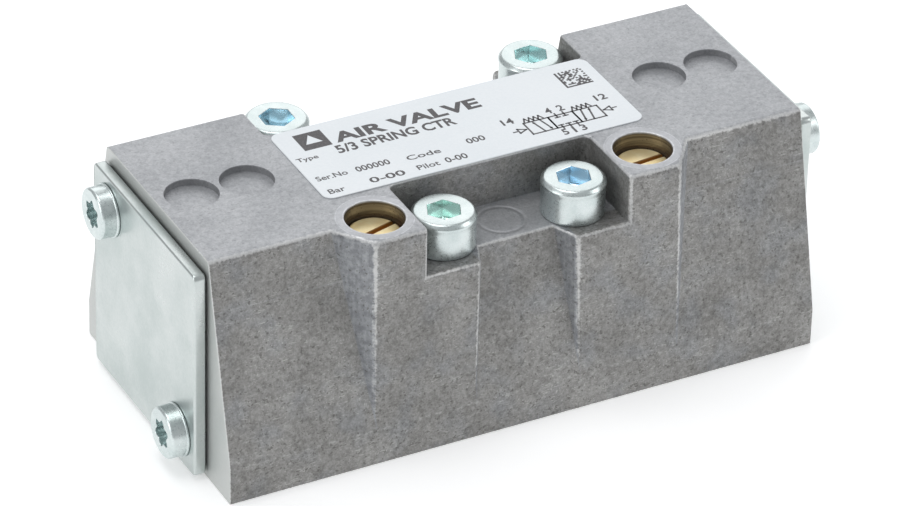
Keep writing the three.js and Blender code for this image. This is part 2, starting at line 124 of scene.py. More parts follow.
class Value:
    """A number worked out anew at each point of a surface."""

    def __init__(self, tree, socket):
        self.tree, self.socket = tree, socket

    def maths(self, operation, other):
        made = add(self.tree, "ShaderNodeMath", {0: self, 1: other}, operation=operation)
        return Value(self.tree, made.outputs[0])

    def __add__(self, other):
        return self.maths("ADD", other)

    def __sub__(self, other):
        return self.maths("SUBTRACT", other)

    def __mul__(self, other):
        return self.maths("MULTIPLY", other)

    def larger(self, other):
        return self.maths("MAXIMUM", other)

    def mapped(self, low, high, to_low, to_high, **settings):
        inputs = {0: self, 1: low, 2: high, 3: to_low, 4: to_high}
        return Value(self.tree, add(self.tree, "ShaderNodeMapRange", inputs, **settings).outputs[0])

    def line(self, low, high, to_low, to_high):
        """A straight map, continued on both sides: low becomes to_low and high becomes to_high."""
        return self.mapped(low, high, to_low, to_high, interpolation_type="LINEAR", clamp=False)

    def ramp(self, low, high, to_low=0.0, to_high=1.0):
        """A soft step: from low to high it goes from to_low to to_high, and stays there."""
        return self.mapped(low, high, to_low, to_high, interpolation_type="SMOOTHSTEP")

    def fall(self, low, high):
        """1 up to low and 0 from high on."""
        return self.ramp(low, high, 1.0, 0.0)

    def between(self, low, high, soft):
        """1 between low and high, 0 outside, soft at both ends."""
        return self.ramp(low - soft, low + soft) * self.fall(high - soft, high + soft)


def colour(red, green, blue):
    return (red, green, blue, 1.0)


class Finish:
    """A material under construction: its surface shader, its noises and the piece's own coordinates."""

    def __init__(self, name, metallic, roughness):
        self.material = bpy.data.materials.new(name)
        self.material.use_nodes = True
        self.tree = self.material.node_tree
        self.shader = self.tree.nodes["Principled BSDF"]
        self.shader.inputs["Metallic"].default_value = metallic
        self.shader.inputs["Roughness"].default_value = roughness
        self.place = add(self.tree, "ShaderNodeTexCoord", {}).outputs["Object"]
        split = add(self.tree, "ShaderNodeSeparateXYZ", {0: self.place})
        x, self.y, self.z = (Value(self.tree, output) for output in split.outputs)
        self.reach = x.maths("ABSOLUTE", 0.0)

    def wire(self, socket, value):
        self.tree.links.new(getattr(value, "socket", value), self.shader.inputs[socket])

    def bump(self, height, depth_mm):
        inputs = {"Height": height, "Distance": depth_mm * MM, "Strength": 1.0}
        self.wire("Normal", add(self.tree, "ShaderNodeBump", inputs).outputs[0])

    def mix(self, share, first, second):
        """The first colour where share is 0, the second where it is 1."""
        return add(self.tree, "ShaderNodeMix", {0: share, 6: first, 7: second}, data_type="RGBA").outputs[2]

    def attribute(self, name):
        """What the mesh stores under this name for its points or corners."""
        made = add(self.tree, "ShaderNodeAttribute", {}, attribute_name=name)
        return Value(self.tree, made.outputs["Fac"])

    def cloud(self, size_mm, detail, roughness=0.6):
        """Noise from 0 to 1 whose lumps are about size_mm across."""
        inputs = {"Vector": self.place, "Scale": 1 / (size_mm * MM), "Detail": detail, "Roughness": roughness}
        return Value(self.tree, add(self.tree, "ShaderNodeTexNoise", inputs).outputs["Fac"])

    def stretched(self, turn, scale, detail):
        """Noise on turned coordinates, each with its own scale in lumps per metre."""
        moved = add(self.tree, "ShaderNodeMapping", {"Vector": self.place, "Rotation": turn, "Scale": scale})
        inputs = {"Vector": moved.outputs[0], "Scale": 1.0, "Detail": detail}
        return Value(self.tree, add(self.tree, "ShaderNodeTexNoise", inputs).outputs["Fac"])

    def streaks(self, turn, long_mm, thin_mm):
        """Noise drawn out along one direction, as brushed lines or scratches are."""
        thin = 1 / (thin_mm * MM)
        return self.stretched(turn, (1 / (long_mm * MM), thin, thin), 2.0)

    def radius_from(self, x, y):
        """Distance from the upright axes at x and -x."""
        flat = add(self.tree, "ShaderNodeCombineXYZ", {0: self.reach, 1: self.y}).outputs[0]
        made = add(self.tree, "ShaderNodeVectorMath", {0: flat, 1: (x, y, 0)}, operation="DISTANCE")
        return Value(self.tree, made.outputs["Value"])


# %% [markdown]
# ## Where things are
#
# The finishes and pieces need a few places: the height of the deck and of the shelves, and the
# axes of the screws and regulators. They are read from the CAD nodes.

# %% Places from the frame
ENDS = ("left", "right")
HEAD_H = 5.0 * MM


def box_of(node):
    low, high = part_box(node)
    return Vector(low), Vector(high)


def middle(node):
    low, high = box_of(node)
    return (low + high) / 2


BLOCK_LOW, BLOCK_HIGH = box_of("valve_body")
DECK_Z = BLOCK_HIGH.z
END_X = BLOCK_HIGH.x
SHELF_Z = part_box("mounting_screw_front_left")[1][2] - HEAD_H
REGULATOR = {end: middle(f"flow_regulator_{end}") for end in ENDS}
REGULATOR_TOP = max(box_of(f"flow_regulator_{end}")[1].z for end in ENDS)
BORE_AT = (REGULATOR["right"].x, REGULATOR["right"].y)
PLATE_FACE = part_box("end_plate_right")[1][0]
SCREW_NODES = [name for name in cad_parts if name.startswith("mounting_screw_")]
END_SCREW_NODES = [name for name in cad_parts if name.startswith("end_screw_")]
print("deck", round(DECK_Z / MM, 2), "shelf", round(SHELF_Z / MM, 2), "screws", len(SCREW_NODES))

# %% [markdown]
# ## The casting's finish
#
# A die casting that has been tumbled is a dull, speckled grey: soft clouds several millimetres
# across, a finer mottle, small bright and dark specks, and short scratches from the tumbling
# stones. The deck is smoother, a little bluer and lighter than the walls; its lighter colour is
# partly its own and partly a painted highlight, which the shelves share, and the pocket walls are
# darkened as painted shade. The slanting flanks of the bosses lie too deep for the stones, so they
# keep the smooth bluish cast skin with drawing lines. The two end faces and a ring round each
# regulator are machined and lighter, with painted highlights along the edge lines of the ring and
# the bore. Tumbling polishes the edges first. An attribute on the mesh is 1 along the rounded
# edges and 0 on the faces, and noise breaks it into ragged bright patches: partly this wear and
# partly a painted highlight along the rounded edges.

# %% Cast finish
RING_R = 4.72 * MM
BORE_R = 3.85 * MM
PIN_MARK_Y = -12.2 * MM
PIN_MARK_R = 3.1 * MM
SKIRT_Z = 5.15 * MM
SHELF_FRONT_Y = -16.1 * MM
POCKETS_X = (28.85 * MM, 36.3 * MM)
POCKET_R = 3.45 * MM
POCKET_DEPTH = 1.0 * MM
FLANK_BACK_Y = -14.0 * MM
# height, then inner and outer reach along X, in millimetres, at the top and foot of each flank
FLANKS = (
    {"top": (31.6, 21.1, 24.8), "foot": (6.3, 21.0, 21.3)},
    {"top": (25.0, 5.15, 6.7), "foot": (6.3, 7.1, 7.3)},
)
NO_TURN = (0.0, 0.0, 0.0)


def flank_share(finish):
    """1 on the slanting flanks of the front bosses: between two lines that meet at the foot."""
    shares = []
    for flank in FLANKS:
        top_z, top_low, top_high = (value * MM for value in flank["top"])
        foot_z, foot_low, foot_high = (value * MM for value in flank["foot"])
        low = finish.z.line(foot_z, top_z, foot_low, top_low)
        high = finish.z.line(foot_z, top_z, foot_high, top_high)
        past_low = (finish.reach - low).ramp(-0.05 * MM, 0.15 * MM)
        short_of_high = (high - finish.reach).ramp(-0.05 * MM, 0.15 * MM)
        shares.append(past_low * short_of_high * finish.z.fall(top_z, top_z + 0.1 * MM))
    return shares[0].larger(shares[1]) * finish.y.fall(FLANK_BACK_Y - 0.2 * MM, FLANK_BACK_Y)


def in_pockets(finish, radius, soft):
    """1 inside the circles of the four deck pockets, taken with this radius."""
    near, far = (finish.radius_from(x, 0).fall(radius, radius + soft) for x in POCKETS_X)
    return near.larger(far)


def scratch_marks(finish, clouds, flank):
    """Bright specks and scratches in three directions, fewer in dull areas and on the flanks."""
    bright = finish.cloud(0.3, 1.0).ramp(0.65, 0.73)
    scratches = finish.streaks((0.4, 0.9, 0.5), 1.3, 0.16).ramp(0.66, 0.73)
    for turn in ((1.3, -0.5, 2.0), (-0.7, 0.4, 1.2)):
        scratches = scratches.larger(finish.streaks(turn, 1.2, 0.16).ramp(0.67, 0.74))
    marks = (bright * 0.7).larger(scratches) * clouds.ramp(0.4, 0.65, 0.35, 1.0)
    return marks * flank.ramp(0.0, 1.0, 1.0, 0.4)


def wall_colour(finish, tone, skin, flank):
    """Warm and cool greys in patches, and the smooth bluish cast skin on the flanks."""
    share = tone.ramp(0.3, 0.64)
    warm = finish.mix(share, colour(0.2, 0.196, 0.188), colour(0.385, 0.38, 0.37))
    cool = finish.mix(share, colour(0.2, 0.203, 0.206), colour(0.38, 0.385, 0.39))
    walls = finish.mix(finish.cloud(5.0, 2.0, 0.5).ramp(0.44, 0.72), warm, cool)
    bluish = finish.mix(skin.ramp(0.36, 0.66), colour(0.24, 0.248, 0.266), colour(0.37, 0.384, 0.4))
    return finish.mix(flank * 0.85, walls, bluish)


def deck_and_top_highlight_share(finish):
    """1 on the deck and the pocket floors, and nearly 1 on the shelves; the lighter colour it brings is
    partly the deck's own and partly a painted highlight.
    """
    deck = finish.z.ramp(DECK_Z - 0.35 * MM, DECK_Z - 0.15 * MM)
    floors = finish.z.ramp(DECK_Z - POCKET_DEPTH - 0.05 * MM, DECK_Z - POCKET_DEPTH)
    floors = in_pockets(finish, POCKET_R, 0.05 * MM) * floors
    # painted highlight: the shelves take nearly the lighter deck colour that up-facing faces show under the
    # lamps
    shelf = finish.z.between(SHELF_Z - 0.12 * MM, SHELF_Z + 0.12 * MM, 0.02 * MM)
    shelf = shelf * finish.y.between(SHELF_FRONT_Y, -SHELF_FRONT_Y, 0.2 * MM)
    return deck.larger(floors).larger(shelf * 0.9)


def cast_finish():
    finish = Finish("cast metal", metallic=0.7, roughness=0.55)
    clouds = finish.cloud(8.0, 3.0)
    mottle = finish.cloud(0.75, 3.0)
    grain = finish.cloud(0.28, 2.0)
    tone = clouds * 0.26 + mottle * 0.36 + grain * 0.31
    flank = flank_share(finish)
    drawn = finish.stretched(NO_TURN, (2200.0, 2200.0, 90.0), 3.0)
    dark = finish.cloud(0.42, 1.0).fall(0.29, 0.38)
    marks = scratch_marks(finish, clouds, flank)

    # the walls, with a faint rubbed line where the skirt meets the slope
    walls = wall_colour(finish, tone, drawn * 0.3 + mottle * 0.7, flank)
    walls = finish.mix(dark * 0.65, walls, colour(0.12, 0.116, 0.108))
    walls = finish.mix(marks * 0.6, walls, colour(0.62, 0.62, 0.6))
    skirt = finish.z.between(SKIRT_Z - 0.12 * MM, SKIRT_Z + 0.12 * MM, 0.1 * MM)
    walls = finish.mix(skirt * mottle.ramp(0.5, 0.66) * 0.5, walls, colour(0.5, 0.5, 0.49))

    # the deck, the shelves and the pockets: a lighter colour on up-facing faces, partly the deck's own finish
    # and partly a painted highlight, and pocket walls darkened as painted shade
    on_deck_and_top_highlight = deck_and_top_highlight_share(finish)
    deck = finish.mix(tone.ramp(0.3, 0.64), colour(0.375, 0.383, 0.4), colour(0.53, 0.538, 0.555))
    deck = finish.mix(dark * 0.45, deck, colour(0.3, 0.305, 0.315))
    deck = finish.mix(marks * 0.4, deck, colour(0.66, 0.665, 0.68))
    colours = finish.mix(on_deck_and_top_highlight, walls, deck)
    # painted shade: the upper walls of the deck pockets are darkened where shade falls in the recess
    sides = finish.z.between(DECK_Z - POCKET_DEPTH + 0.07 * MM, DECK_Z - 0.12 * MM, 0.06 * MM)
    sides = sides * in_pockets(finish, POCKET_R + 0.05 * MM, 0.1 * MM)
    colours = finish.mix(sides * 0.45, colours, colour(0.13, 0.128, 0.13))

    # machined: a ring round each regulator with painted highlights along its edge lines, and the end faces
    radius = finish.radius_from(*BORE_AT)
    ring = radius.fall(RING_R - 0.04 * MM, RING_R + 0.04 * MM) * on_deck_and_top_highlight
    colours = finish.mix(ring * 0.6, colours, colour(0.47, 0.478, 0.5))
    # painted highlight: bright lines along the ring's outer edge and the bore's edge
    rim_highlights = radius.between(RING_R, RING_R + 0.16 * MM, 0.05 * MM)
    rim_highlights = rim_highlights.larger(radius.between(BORE_R - 0.1 * MM, BORE_R + 0.12 * MM, 0.05 * MM))
    rim_highlights = rim_highlights * on_deck_and_top_highlight * mottle.ramp(0.35, 0.6, 0.4, 1.0)
    colours = finish.mix(rim_highlights * 0.6, colours, colour(0.72, 0.73, 0.76))
    milled = finish.streaks(NO_TURN, 40.0, 0.12)
    milled = finish.mix(milled, colour(0.5, 0.515, 0.505), colour(0.6, 0.615, 0.6))
    cut = finish.reach.ramp(END_X - 0.1 * MM, END_X - 0.03 * MM)
    colours = finish.mix(cut, colours, milled)

    # the bores: bare metal with turning rings, in a dark bronze-brown
    bore = radius.fall(BORE_R, BORE_R + 0.05 * MM) * finish.z.fall(DECK_Z - 0.3 * MM, DECK_Z - 0.15 * MM)
    rings = finish.stretched(NO_TURN, (60.0, 60.0, 3500.0), 2.0).ramp(0.35, 0.65)
    bronze = finish.mix(rings, colour(0.15, 0.126, 0.09), colour(0.29, 0.25, 0.185))
    colours = finish.mix(bore, colours, bronze)

    # ragged worn edges, partly a painted highlight along the rounded edges
    worn_and_highlit = (finish.attribute("wear_and_edge_highlight") + mottle * 0.9 + grain * 0.6 - 0.75).ramp(0.32, 0.8)
    worn_and_highlit = worn_and_highlit * (clouds + grain).ramp(0.75, 1.15, 0.6, 1.0)
    finish.wire("Base Color", finish.mix(worn_and_highlit * 0.75, colours, colour(0.66, 0.66, 0.655)))

    smooth = cut.larger(ring)
    rough = tone.ramp(0.2, 0.65, 0.66, 0.52)
    finish.wire("Roughness", rough + marks * -0.12 + bore * -0.25 + smooth * -0.14 + worn_and_highlit * -0.1)

    # relief: mottle and grain, and the ring that the ejector pin left on the front shelf
    relief = grain * 0.5 + mottle * 0.6 + marks * 0.25 + drawn * flank * 0.25
    relief = relief * smooth.ramp(0.0, 1.0, 1.0, 0.15)
    groove = finish.radius_from(0, PIN_MARK_Y).between(PIN_MARK_R - 0.4 * MM, PIN_MARK_R, 0.3 * MM)
    on_shelf = finish.z.between(SHELF_Z - 0.1 * MM, SHELF_Z + 0.1 * MM, 0.05 * MM)
    finish.bump(relief + groove * on_shelf * -2.4, 0.05)
    return finish.material


CAST = cast_finish()
print("cast finish:", len(CAST.node_tree.nodes), "nodes")

# %% [markdown]
# ## The other finishes
#
# Zinc plating is a bright, cool metal with a breath of blue-green from its passivation. On the
# rolled plates it is satin with long faint lines. The screws are mottled more finely, and their
# sockets, where the bath drains slowly, are teal or blue.

# %% Plated, turned and printed finishes
def zinc_sheet():
    finish = Finish("zinc plated sheet", metallic=1.0, roughness=0.3)
    fine = finish.cloud(0.4, 4.0)
    share = (finish.cloud(9.0, 3.0) * 0.7 + fine * 0.3).ramp(0.3, 0.72)
    colours = finish.mix(share, colour(0.5, 0.555, 0.543), colour(0.615, 0.65, 0.64))
    scuffs = finish.streaks((0.8, 0.3, 0.2), 2.5, 0.12).ramp(0.7, 0.76)
    finish.wire("Base Color", finish.mix(scuffs * 0.35, colours, colour(0.5, 0.54, 0.53)))
    finish.wire("Roughness", share.ramp(0.0, 1.0, 0.38, 0.27))
    rolled = finish.streaks(NO_TURN, 30.0, 0.16)
    finish.bump(rolled * 0.5 + fine * 0.5, 0.012)
    return finish.material


def zinc_screw():
    """Bright zinc. An attribute called tint, one value for each screw, turns its socket teal or blue."""
    finish = Finish("zinc plated screw", metallic=1.0, roughness=0.2)
    patches = finish.cloud(2.2, 4.0)
    fine = finish.cloud(0.3, 3.0)
    share = (patches * 0.6 + fine * 0.4).ramp(0.3, 0.7)
    colours = finish.mix(share, colour(0.57, 0.64, 0.635), colour(0.72, 0.775, 0.77))
    socket = finish.attribute("socket")
    deep = finish.mix(finish.attribute("tint"), colour(0.78, 0.92, 0.88), colour(0.71, 0.85, 0.94))
    finish.wire("Base Color", finish.mix(socket, colours, deep))
    finish.wire("Metallic", socket.ramp(0.0, 1.0, 1.0, 0.96))
    finish.wire("Roughness", fine.ramp(0.3, 0.7, 0.26, 0.36) * socket.ramp(0.0, 1.0, 1.0, 0.55))
    finish.bump(fine * 0.4 + patches * 0.6, 0.008)
    return finish.material


def brass():
    """Pale turned brass, redder where the slot lies in its own shade."""
    finish = Finish("turned brass", metallic=0.6, roughness=0.3)
    patches = finish.cloud(1.6, 4.0)
    fine = finish.cloud(0.2, 3.0)
    colours = finish.mix(patches.ramp(0.3, 0.7), colour(0.94, 0.75, 0.4), colour(1.0, 0.87, 0.55))
    in_slot = finish.z.fall(REGULATOR_TOP - 0.25 * MM, REGULATOR_TOP - 0.1 * MM)
    finish.wire("Base Color", finish.mix(in_slot, colours, colour(0.62, 0.34, 0.09)))
    finish.wire("Roughness", fine.ramp(0.3, 0.7, 0.3, 0.42))
    finish.bump(fine, 0.006)
    return finish.material


def label_foil():
    finish = Finish("label foil", metallic=0.0, roughness=0.38)
    grain = finish.cloud(0.35, 3.0)
    share = (grain * 0.5 + finish.cloud(12.0, 2.0) * 0.5).ramp(0.3, 0.7)
    finish.wire("Base Color", finish.mix(share, colour(0.78, 0.82, 0.85), colour(0.84, 0.87, 0.895)))
    finish.wire("Roughness", grain.ramp(0.3, 0.7, 0.34, 0.44))
    finish.bump(grain, 0.006)
    return finish.material


def ink():
    finish = Finish("label ink", metallic=0.0, roughness=0.5)
    grain = finish.cloud(0.2, 3.0)
    share = grain.ramp(0.35, 0.7)
    finish.wire("Base Color", finish.mix(share, colour(0.06, 0.055, 0.058), colour(0.13, 0.125, 0.13)))
    finish.wire("Roughness", grain.ramp(0.3, 0.7, 0.42, 0.6))
    return finish.material


def rubber():
    finish = Finish("black rubber", metallic=0.0, roughness=0.7)
    bloom = finish.cloud(3.0, 4.0).ramp(0.35, 0.7)
    grain = finish.cloud(0.2, 3.0)
    finish.wire("Base Color", finish.mix(bloom, colour(0.012, 0.012, 0.013), colour(0.032, 0.031, 0.03)))
    finish.wire("Roughness", grain.ramp(0.3, 0.7, 0.6, 0.8))
    finish.bump(grain, 0.02)
    return finish.material


def dull_metal(name, dark, light, rough, metallic=1.0):
    """A plain metal with a fine mottle, for what works inside the block."""
    finish = Finish(name, metallic=metallic, roughness=rough)
    lines = finish.streaks((0.0, math.pi / 2, 0.0), 6.0, 0.1)
    finish.wire("Base Color", finish.mix(finish.cloud(0.8, 4.0).ramp(0.3, 0.7), dark, light))
    finish.wire("Roughness", lines.ramp(0.3, 0.7, rough - 0.06, rough + 0.08))
    finish.bump(lines, 0.008)
    return finish.material


SHEET = zinc_sheet()
SCREW = zinc_screw()
BRASS = brass()
FOIL = label_foil()
INK = ink()
RUBBER = rubber()
ANODISED = dull_metal("hard anodised", colour(0.06, 0.063, 0.067), colour(0.1, 0.104, 0.11), 0.42, 0.6)
LAPPED = dull_metal("lapped steel", colour(0.5, 0.51, 0.52), colour(0.62, 0.63, 0.64), 0.18)
SPRING = dull_metal("spring wire", colour(0.22, 0.225, 0.23), colour(0.34, 0.345, 0.35), 0.3)
print("finishes:", len(bpy.data.materials))

# %% [markdown]
# ## Surfaces from arrays
#
# A turned piece is a function of two parameters: the turn, and the place along its profile. Its
# points are one array of rows (profile) by columns (turn). A socket is part of the same surface:
# from the rim of the socket inwards, the radius depends on the turn as well, so the ring of
# points changes from a circle to a hexagon or a six-lobed star.

# %% Mesh helpers
COLUMNS = 72
TURN = np.arange(COLUMNS) * 2 * np.pi / COLUMNS
ROUNDING_POINTS = 4
SHARP_ANGLE = math.radians(32)


def mesh_object(name, points, faces, finish):
    """A smooth-shaded object from an array of points and lists of faces."""
    mesh = bpy.data.meshes.new(name)
    mesh.from_pydata(np.asarray(points, float).tolist(), [], faces)
    mesh.validate()
    mesh.shade_smooth()
    mesh.set_sharp_from_angle(angle=SHARP_ANGLE)
    mesh.materials.append(finish)
    made = bpy.data.objects.new(name, mesh)
    bpy.context.scene.collection.objects.link(made)
    return made


def grid_faces(rows, columns):
    """Quads between neighbouring rings, and fans to a point before the first and after the last."""
    ring = np.arange(columns)
    following = np.roll(ring, -1)
    start = np.arange(rows - 1)[:, None] * columns
    above = start + columns
    quads = np.stack([start + ring, start + following, above + following, above + ring], -1)
    first, last = rows * columns, rows * columns + 1
    foot = np.stack([np.full(columns, first), following, ring], -1)
    top = (rows - 1) * columns
    head = np.stack([np.full(columns, last), top + ring, top + following], -1)
    return quads.reshape(-1, 4).tolist() + foot.tolist() + head.tolist()


def turned_points(radii, heights):
    """Rings of points: x = r cos t, y = r sin t, z = height. radii is rows, or rows by columns."""
    radii = np.asarray(radii, float)
    if radii.ndim == 1:
        radii = np.repeat(radii[:, None], COLUMNS, 1)
    tall = np.repeat(np.asarray(heights, float)[:, None], COLUMNS, 1)
    points = np.stack([radii * np.cos(TURN), radii * np.sin(TURN), tall], -1)
    ends = [[0, 0, heights[0]], [0, 0, heights[-1]]]
    return np.concatenate([points.reshape(-1, 3), ends])


def softened(corners, radius):
    """Rounds each inner corner of a profile: a short curve from one side to the other."""
    corners = np.asarray(corners, float)
    path = [corners[0]]
    for before, corner, after in zip(corners[:-2], corners[1:-1], corners[2:]):
        back, on = before - corner, after - corner
        reach = min(radius, np.hypot(*back) * 0.45, np.hypot(*on) * 0.45)
        start = corner + back / np.hypot(*back) * reach
        stop = corner + on / np.hypot(*on) * reach
        for share in np.linspace(0, 1, ROUNDING_POINTS):
            path.append((1 - share) ** 2 * start + 2 * share * (1 - share) * corner + share**2 * stop)
    path.append(corners[-1])
    return np.array(path)


def hexagon(flats, turn):
    """Radius of a hexagon by the turn, from its width across flats: least in the middle of a flat."""
    within = (turn + np.pi / 6) % (np.pi / 3) - np.pi / 6
    return flats / 2 / np.cos(within)


def six_lobes(radius, lobe, turn):
    """Radius of a six-lobed star by the turn: it swells and shrinks six times."""
    return radius - lobe + lobe * np.cos(6 * turn)


def spun(points, turn):
    """The points turned about the upright axis."""
    cos, sin = math.cos(turn), math.sin(turn)
    x, y, z = points.T
    return np.stack([x * cos - y * sin, x * sin + y * cos, z], -1)


# %% [markdown]
# ## Mounting screws
#
# M5 socket heads: a plain barrel with a rolled upper rim, a hexagon socket with a drilled floor,
# and a thread. The thread is in the same formula: along the shank the radius falls and rises with
# the height minus the turn, one pitch for each turn, which is a helix.

# %% Mounting screws
HEAD_R = 4.13 * MM
SHANK_R = 2.44 * MM
HEX_FLATS = 4.0 * MM
HEX_DEPTH = 2.5 * MM
THREAD_PITCH = 0.8 * MM
THREAD_DEPTH = 0.42 * MM
THREAD_LENGTH = 16 * MM
HEX_TURNS = {"front_left": -24, "front_right": -20, "rear_left": -2, "rear_right": -24}
TINTS = {"front_left": 0.05, "front_right": 0.95, "rear_left": 0.75, "rear_right": 0.3}


def mark_points(piece, name, values):
    """Stores one number for each point of a piece, for its material to read."""
    layer = piece.data.attributes.new(name, "FLOAT", "POINT")
    layer.data.foreach_set("value", np.asarray(values, np.float32))


def thread_rows(low, high):
    """Rows of radii: the core plus a triangle wave of height minus turn, fading in at the tip."""
    heights = np.arange(low, high, THREAD_PITCH / 8)
    phase = (heights[:, None] / THREAD_PITCH - np.arange(COLUMNS) / COLUMNS) % 1
    wave = np.abs(2 * phase - 1)
    depth = THREAD_DEPTH * np.clip((high - heights) / THREAD_PITCH, 0, 1)[:, None]
    return SHANK_R - depth * wave, heights


def mounting_screw(node):
    low, high = box_of(node)
    top = high.z
    under = top - HEAD_H
    where = node.removeprefix("mounting_screw_")
    socket = hexagon(HEX_FLATS, TURN)
    tip_r = SHANK_R - THREAD_DEPTH - 0.1 * MM
    thread, thread_z = thread_rows(low.z + 0.5 * MM, low.z + THREAD_LENGTH)
    head = softened(
        [
            (SHANK_R, low.z + THREAD_LENGTH + 0.3 * MM),
            (SHANK_R, under + 0.02 * MM),
            (HEAD_R - 0.16 * MM, under + 0.02 * MM),
            (HEAD_R - 0.08 * MM, under + 0.3 * MM),
            (HEAD_R - 0.08 * MM, top - 1.2 * MM),
            (HEAD_R, top - 0.75 * MM),
            (HEAD_R, top - 0.5 * MM),
            (HEAD_R - 0.45 * MM, top),
            (HEX_FLATS / 2 + 0.55 * MM, top),
        ],
        0.2 * MM,
    )
    outside_r = [np.full(COLUMNS, radius) for radius in (0.4 * tip_r, tip_r)]
    outside_z = [low.z, low.z]
    outside_r += list(thread)
    outside_z += list(thread_z)
    outside_r += [np.full(COLUMNS, radius) for radius in head[:, 0]]
    outside_z += list(head[:, 1])
    mouth = len(outside_z)
    outside_r += [socket + 0.06 * MM, socket, socket * 0.985, socket * 0.98, np.full(COLUMNS, 0.6 * MM)]
    floor = top - HEX_DEPTH
    outside_z += [top, top - 0.06 * MM, floor + 0.15 * MM, floor, floor - 0.5 * MM]
    points = turned_points(np.array(outside_r), outside_z)
    turned = spun(points, math.radians(HEX_TURNS[where]))
    turned[:, :2] += np.array(((low.x + high.x) / 2, (low.y + high.y) / 2))
    piece = mesh_object(node + "_finished", turned, grid_faces(len(outside_z), COLUMNS), SCREW)
    inside = np.repeat(np.arange(len(outside_z)) > mouth, COLUMNS)
    mark_points(piece, "socket", np.append(inside, (0, 1)))
    mark_points(piece, "tint", np.full(len(points), TINTS[where]))
    return piece


for node in SCREW_NODES:
    piece = mounting_screw(node)
    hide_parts(node)
    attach(piece, node)
    print(piece.name, len(piece.data.polygons), "faces")

# %% [markdown]
# ## End screws
#
# Low cheese heads with a thin flange where the die closed, and a six-lobed socket. The surface is
# made standing up and laid down along the block by swapping its axes.

# %% End screws
END_HEAD_R = 3.35 * MM
END_FLANGE_R = 3.48 * MM
END_SHANK_R = 1.88 * MM
LOBE_R = 1.93 * MM
LOBE_SWELL = 0.27 * MM
LOBE_DEPTH = 1.5 * MM
LOBE_SPINS = {"top": math.radians(30), "bottom": math.radians(24)}


def end_screw(node):
    low, high = box_of(node)
    side = 1 if low.x > 0 else -1
    face = max(abs(low.x), abs(high.x))
    inner = min(abs(low.x), abs(high.x))
    star = six_lobes(LOBE_R, LOBE_SWELL, TURN - LOBE_SPINS[node.rsplit("_", 1)[1]])
    profile = softened(
        [
            (0.8 * MM, inner),
            (END_SHANK_R - 0.35 * MM, inner),
            (END_SHANK_R, inner + 0.5 * MM),
            (END_SHANK_R, PLATE_FACE + 0.03 * MM),
            (END_FLANGE_R, PLATE_FACE + 0.03 * MM),
            (END_FLANGE_R, PLATE_FACE + 0.28 * MM),
            (END_HEAD_R, PLATE_FACE + 0.34 * MM),
            (END_HEAD_R - 0.03 * MM, face - 0.25 * MM),
            (END_HEAD_R - 0.25 * MM, face),
            (LOBE_R + 0.35 * MM, face),
        ],
        0.12 * MM,
    )
    radii = [np.full(COLUMNS, radius) for radius in profile[:, 0]]
    heights = list(profile[:, 1])
    mouth = len(heights)
    radii += [star + 0.05 * MM, star, star * 0.98, np.full(COLUMNS, 0.5 * MM)]
    heights += [face, face - 0.05 * MM, face - LOBE_DEPTH, face - LOBE_DEPTH - 0.35 * MM]
    upright = turned_points(np.array(radii), heights)
    laid = np.stack([side * upright[:, 2], side * upright[:, 0], upright[:, 1]], -1)
    laid[:, 1:] += np.array(((low.y + high.y) / 2, (low.z + high.z) / 2))
    piece = mesh_object(node + "_finished", laid, grid_faces(len(heights), COLUMNS), SCREW)
    inside = np.repeat(np.arange(len(heights)) > mouth, COLUMNS)
    mark_points(piece, "socket", np.append(inside, (0, 1)) * 0.3)
    mark_points(piece, "tint", np.full(len(upright), 0.3))
    return piece


for node in END_SCREW_NODES:
    piece = end_screw(node)
    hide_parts(node)
    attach(piece, "block")
print("end screws:", len(END_SCREW_NODES))

# %% [markdown]
# ## Flow regulators
#
# A turned brass screw with a saw slot. The turning is a profile; the slot is cut with a Boolean
# modifier, because a straight cut across a round face has no simple place on a turned grid.

# %% Flow regulators
REGULATOR_R = 3.43 * MM
SLOT_WIDE = 0.8 * MM
SLOT_DEEP = 1.2 * MM
SLOT_TURNS = {"left": 16, "right": 6}


def box_points(centre, size, turn):
    """The eight corners of a box turned about Z, and its six faces."""
    signs = np.array([[x, y, z] for x in (-1, 1) for y in (-1, 1) for z in (-1, 1)])
    local = signs * np.array(size) / 2
    faces = [[0, 1, 3, 2], [4, 6, 7, 5], [0, 4, 5, 1], [2, 3, 7, 6], [0, 2, 6, 4], [1, 5, 7, 3]]
    return spun(local, turn) + np.array(centre), faces


def applied(thing):
    """Replaces an object's mesh by what its modifiers make of it."""
    graph = bpy.context.evaluated_depsgraph_get()
    mesh = bpy.data.meshes.new_from_object(thing.evaluated_get(graph))
    thing.modifiers.clear()
    thing.data = mesh
    return thing


